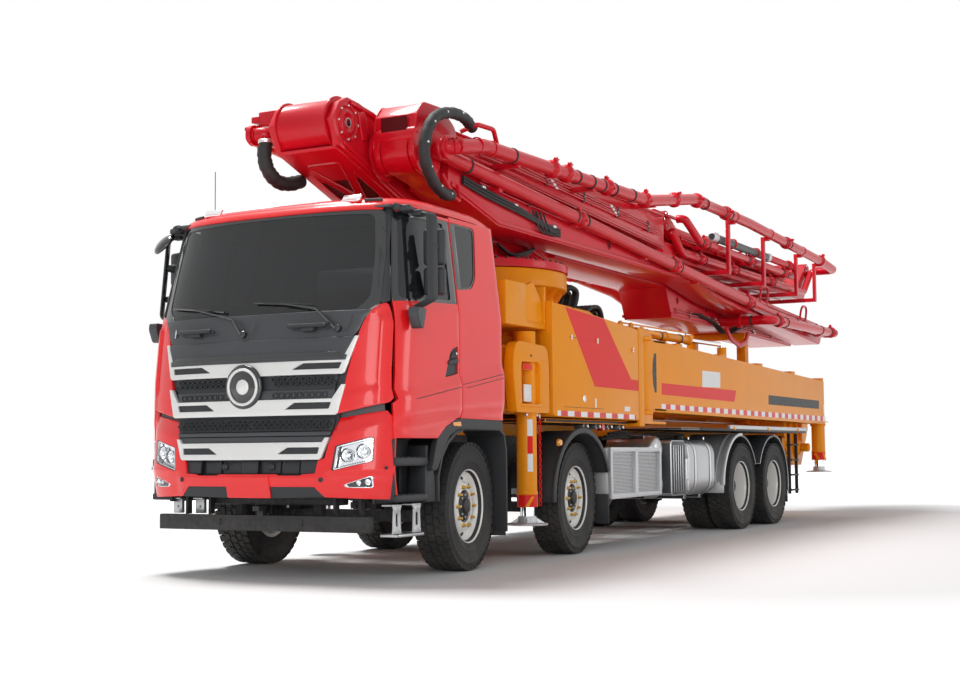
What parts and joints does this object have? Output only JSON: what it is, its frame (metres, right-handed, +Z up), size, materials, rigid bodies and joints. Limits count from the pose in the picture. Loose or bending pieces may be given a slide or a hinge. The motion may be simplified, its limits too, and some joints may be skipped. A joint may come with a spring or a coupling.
{
  "type": "truck-mounted concrete pump",
  "caption": "Cab-over truck with a folding concrete boom on a slewing turret, outriggers, pump, hopper, turning wheels, steering and doors.",
  "frame": {"origin": "on the ground under the middle of the whole truck's box", "axes": "+X the way the truck drives, +Y its left side, +Z up"},
  "size_m": [13.95, 2.8, 4.1198],
  "materials": {
    "cab_red": "gloss",
    "boom_red": "gloss",
    "body_orange": "gloss",
    "frame_black": "satin",
    "trim_black": "satin",
    "tyre_rubber": "matt",
    "window_glass": "tinted",
    "lamp_clear": "clear",
    "seat_cloth": "woven",
    "tank_alloy": "satin",
    "rod_chrome": "polished",
    "hose_rubber": "matt"
  },
  "bodies": {
    "root": {"chassis_frame": "frame_black", "axles": "frame_black", "engine": "frame_black", "cab_shell": "cab_red", "cab_glazing": "window_glass", "dashboard": "trim_black", "seats": "seat_cloth", "front_mask": "trim_black", "front_bumper": "cab_red", "headlamps": "lamp_clear", "underrun_bar": "frame_black", "step_fenders": "trim_black", "guard_box": "tank_alloy", "tanks": "tank_alloy", "rear_fenders": "trim_black", "pump_frame": "body_orange", "lockers": "body_orange", "slewing_pedestal": "body_orange", "hopper": "body_orange", "pumping_unit": "body_orange", "rear_platform": "frame_black", "boom_rest": "body_orange"},
    "turret": {"turret": "boom_red"},
    "boom_1": {"boom_1": "boom_red"},
    "boom_2": {"boom_2": "boom_red"},
    "boom_3": {"boom_3": "boom_red"},
    "boom_4": {"boom_4": "boom_red"},
    "boom_5": {"boom_5": "boom_red", "end_hose": "hose_rubber"},
    "lift_barrel": {"lift_barrel": "boom_red"},
    "lift_rod": {"lift_rod": "rod_chrome"},
    "left_door": {"left_door": "cab_red", "mirror_left": "trim_black"},
    "right_door": {"right_door": "cab_red", "mirror_right": "trim_black"},
    "knuckle_1_left": {"knuckle_1_left": "frame_black"},
    "wheel_1_left": {"wheel_1_left": "tyre_rubber"},
    "knuckle_1_right": {"knuckle_1_right": "frame_black"},
    "wheel_1_right": {"wheel_1_right": "tyre_rubber"},
    "knuckle_2_left": {"knuckle_2_left": "frame_black"},
    "wheel_2_left": {"wheel_2_left": "tyre_rubber"},
    "knuckle_2_right": {"knuckle_2_right": "frame_black"},
    "wheel_2_right": {"wheel_2_right": "tyre_rubber"},
    "wheel_3_left": {"wheel_3_left": "tyre_rubber"},
    "wheel_3_right": {"wheel_3_right": "tyre_rubber"},
    "wheel_4_left": {"wheel_4_left": "tyre_rubber"},
    "wheel_4_right": {"wheel_4_right": "tyre_rubber"},
    "front_outrigger_left": {"front_outrigger_left": "body_orange"},
    "front_leg_left": {"front_leg_left": "rod_chrome"},
    "front_outrigger_right": {"front_outrigger_right": "body_orange"},
    "front_leg_right": {"front_leg_right": "rod_chrome"},
    "rear_outrigger_left": {"rear_outrigger_left": "body_orange"},
    "rear_leg_left": {"rear_leg_left": "rod_chrome"},
    "swing_barrel_left": {"swing_barrel_left": "body_orange"},
    "swing_rod_left": {"swing_rod_left": "rod_chrome"},
    "rear_outrigger_right": {"rear_outrigger_right": "body_orange"},
    "rear_leg_right": {"rear_leg_right": "rod_chrome"},
    "swing_barrel_right": {"swing_barrel_right": "body_orange"},
    "swing_rod_right": {"swing_rod_right": "rod_chrome"},
    "hopper_grate": {"hopper_grate": "boom_red"}
  },
  "joints": [
    {"name": "slew", "type": "hinge", "parent": "root", "child": "turret", "pos_m": [3.045, 0, 2.805], "axis": [0, 0, 1], "range_deg": [-270, 270]},
    {"name": "boom_1_raise", "type": "hinge", "parent": "turret", "child": "boom_1", "pos_m": [6.04, 0, 3.78], "axis": [0, 1, 0], "range_deg": [0, 85]},
    {"name": "boom_2_fold", "type": "hinge", "parent": "boom_1", "child": "boom_2", "pos_m": [-6.8, 0, 2.84], "axis": [0, -1, 0], "range_deg": [0, 180]},
    {"name": "boom_3_fold", "type": "hinge", "parent": "boom_2", "child": "boom_3", "pos_m": [5.545, 0, 3.585], "axis": [0, 1, 0], "range_deg": [0, 180]},
    {"name": "boom_4_fold", "type": "hinge", "parent": "boom_3", "child": "boom_4", "pos_m": [-6.8, 0, 3.86], "axis": [0, -1, 0], "range_deg": [0, 180]},
    {"name": "boom_5_fold", "type": "hinge", "parent": "boom_4", "child": "boom_5", "pos_m": [-0.56, 0, 3.84], "axis": [0, 1, 0], "range_deg": [0, 180]},
    {"name": "lift_barrel_swing", "type": "hinge", "parent": "turret", "child": "lift_barrel", "pos_m": [5.2, 0, 3.36], "axis": [0, 1, 0], "range_deg": [0, 92.39]},
    {"name": "lift_rod_stroke", "type": "slide", "parent": "lift_barrel", "child": "lift_rod", "axis": [-1, 0, -0.0042], "range_m": [0, 1.2133]},
    {"name": "left_door_swing", "type": "hinge", "parent": "root", "child": "left_door", "pos_m": [6.7, 1.19, 2], "axis": [0, 0, -1], "range_deg": [0, 70]},
    {"name": "right_door_swing", "type": "hinge", "parent": "root", "child": "right_door", "pos_m": [6.7, -1.19, 2], "axis": [0, 0, 1], "range_deg": [0, 70]},
    {"name": "steer_1_left", "type": "hinge", "parent": "root", "child": "knuckle_1_left", "pos_m": [5.445, 0.9, 0.54], "axis": [0, 0, 1], "range_deg": [-41.3, 28.7]},
    {"name": "roll_1_left", "type": "hinge", "parent": "knuckle_1_left", "child": "wheel_1_left", "pos_m": [5.445, 0.9, 0.54], "axis": [-0.1097, 0.994, 0], "continuous": true},
    {"name": "steer_1_right", "type": "hinge", "parent": "root", "child": "knuckle_1_right", "pos_m": [5.445, -0.9, 0.54], "axis": [0, 0, 1], "range_deg": [-41.3, 28.7]},
    {"name": "roll_1_right", "type": "hinge", "parent": "knuckle_1_right", "child": "wheel_1_right", "pos_m": [5.445, -0.9, 0.54], "axis": [-0.1097, 0.994, 0], "continuous": true},
    {"name": "steer_2_left", "type": "hinge", "parent": "root", "child": "knuckle_2_left", "pos_m": [3.295, 0.9, 0.54], "axis": [0, 0, 1], "range_deg": [-30.56, 21.24]},
    {"name": "roll_2_left", "type": "hinge", "parent": "knuckle_2_left", "child": "wheel_2_left", "pos_m": [3.295, 0.9, 0.54], "axis": [-0.0811, 0.9967, 0], "continuous": true},
    {"name": "steer_2_right", "type": "hinge", "parent": "root", "child": "knuckle_2_right", "pos_m": [3.295, -0.9, 0.54], "axis": [0, 0, 1], "range_deg": [-30.56, 21.24]},
    {"name": "roll_2_right", "type": "hinge", "parent": "knuckle_2_right", "child": "wheel_2_right", "pos_m": [3.295, -0.9, 0.54], "axis": [-0.0811, 0.9967, 0], "continuous": true},
    {"name": "roll_3_left", "type": "hinge", "parent": "root", "child": "wheel_3_left", "pos_m": [-1.495, 0.93, 0.54], "axis": [0, 1, 0], "continuous": true},
    {"name": "roll_3_right", "type": "hinge", "parent": "root", "child": "wheel_3_right", "pos_m": [-1.495, -0.93, 0.54], "axis": [0, 1, 0], "continuous": true},
    {"name": "roll_4_left", "type": "hinge", "parent": "root", "child": "wheel_4_left", "pos_m": [-2.855, 0.93, 0.54], "axis": [0, 1, 0], "continuous": true},
    {"name": "roll_4_right", "type": "hinge", "parent": "root", "child": "wheel_4_right", "pos_m": [-2.855, -0.93, 0.54], "axis": [0, 1, 0], "continuous": true},
    {"name": "front_outrigger_left_extend", "type": "slide", "parent": "root", "child": "front_outrigger_left", "axis": [0.5736, 0.8192, 0], "range_m": [0, 1.6]},
    {"name": "front_leg_left_lower", "type": "slide", "parent": "front_outrigger_left", "child": "front_leg_left", "axis": [0, 0, -1], "range_m": [0, 0.6]},
    {"name": "front_outrigger_right_extend", "type": "slide", "parent": "root", "child": "front_outrigger_right", "axis": [0.5736, -0.8192, 0], "range_m": [0, 1.6]},
    {"name": "front_leg_right_lower", "type": "slide", "parent": "front_outrigger_right", "child": "front_leg_right", "axis": [0, 0, -1], "range_m": [0, 0.6]},
    {"name": "rear_outrigger_left_swing", "type": "hinge", "parent": "root", "child": "rear_outrigger_left", "pos_m": [1.6, 1.12, 1.8], "axis": [0, 0, -1], "range_deg": [0, 80]},
    {"name": "rear_leg_left_lower", "type": "slide", "parent": "rear_outrigger_left", "child": "rear_leg_left", "axis": [0, 0, -1], "range_m": [0, 0.95]},
    {"name": "swing_barrel_left_turn", "type": "hinge", "parent": "root", "child": "swing_barrel_left", "pos_m": [1.5, 0.8, 2.33], "axis": [0, 0, -1], "range_deg": [0, 76.77]},
    {"name": "swing_rod_left_stroke", "type": "slide", "parent": "swing_barrel_left", "child": "swing_rod_left", "axis": [-0.9978, 0.0665, 0], "range_m": [0, 0.3918]},
    {"name": "rear_outrigger_right_swing", "type": "hinge", "parent": "root", "child": "rear_outrigger_right", "pos_m": [1.6, -1.12, 1.8], "axis": [0, 0, 1], "range_deg": [0, 80]},
    {"name": "rear_leg_right_lower", "type": "slide", "parent": "rear_outrigger_right", "child": "rear_leg_right", "axis": [0, 0, -1], "range_m": [0, 0.95]},
    {"name": "swing_barrel_right_turn", "type": "hinge", "parent": "root", "child": "swing_barrel_right", "pos_m": [1.5, -0.8, 2.33], "axis": [0, 0, 1], "range_deg": [0, 76.77]},
    {"name": "swing_rod_right_stroke", "type": "slide", "parent": "swing_barrel_right", "child": "swing_rod_right", "axis": [-0.9978, -0.0665, 0], "range_m": [0, 0.3918]},
    {"name": "hopper_grate_lift", "type": "hinge", "parent": "root", "child": "hopper_grate", "pos_m": [-4.765, 0, 1.632], "axis": [0, 1, 0], "range_deg": [0, 80]}
  ],
  "couplings": [
    {"joint": "lift_barrel_swing", "follows": "boom_1_raise", "ratio": 1.0869},
    {"joint": "lift_rod_stroke", "follows": "boom_1_raise", "m_per_rad": 0.81753},
    {"joint": "steer_1_right", "follows": "steer_1_left", "ratio": 1},
    {"joint": "steer_2_left", "follows": "steer_1_left", "ratio": 0.74},
    {"joint": "steer_2_right", "follows": "steer_1_left", "ratio": 0.74},
    {"joint": "swing_barrel_left_turn", "follows": "rear_outrigger_left_swing", "ratio": 0.9595},
    {"joint": "swing_rod_left_stroke", "follows": "rear_outrigger_left_swing", "m_per_rad": 0.28024},
    {"joint": "swing_barrel_right_turn", "follows": "rear_outrigger_right_swing", "ratio": 0.9595},
    {"joint": "swing_rod_right_stroke", "follows": "rear_outrigger_right_swing", "m_per_rad": 0.28024}
  ]
}
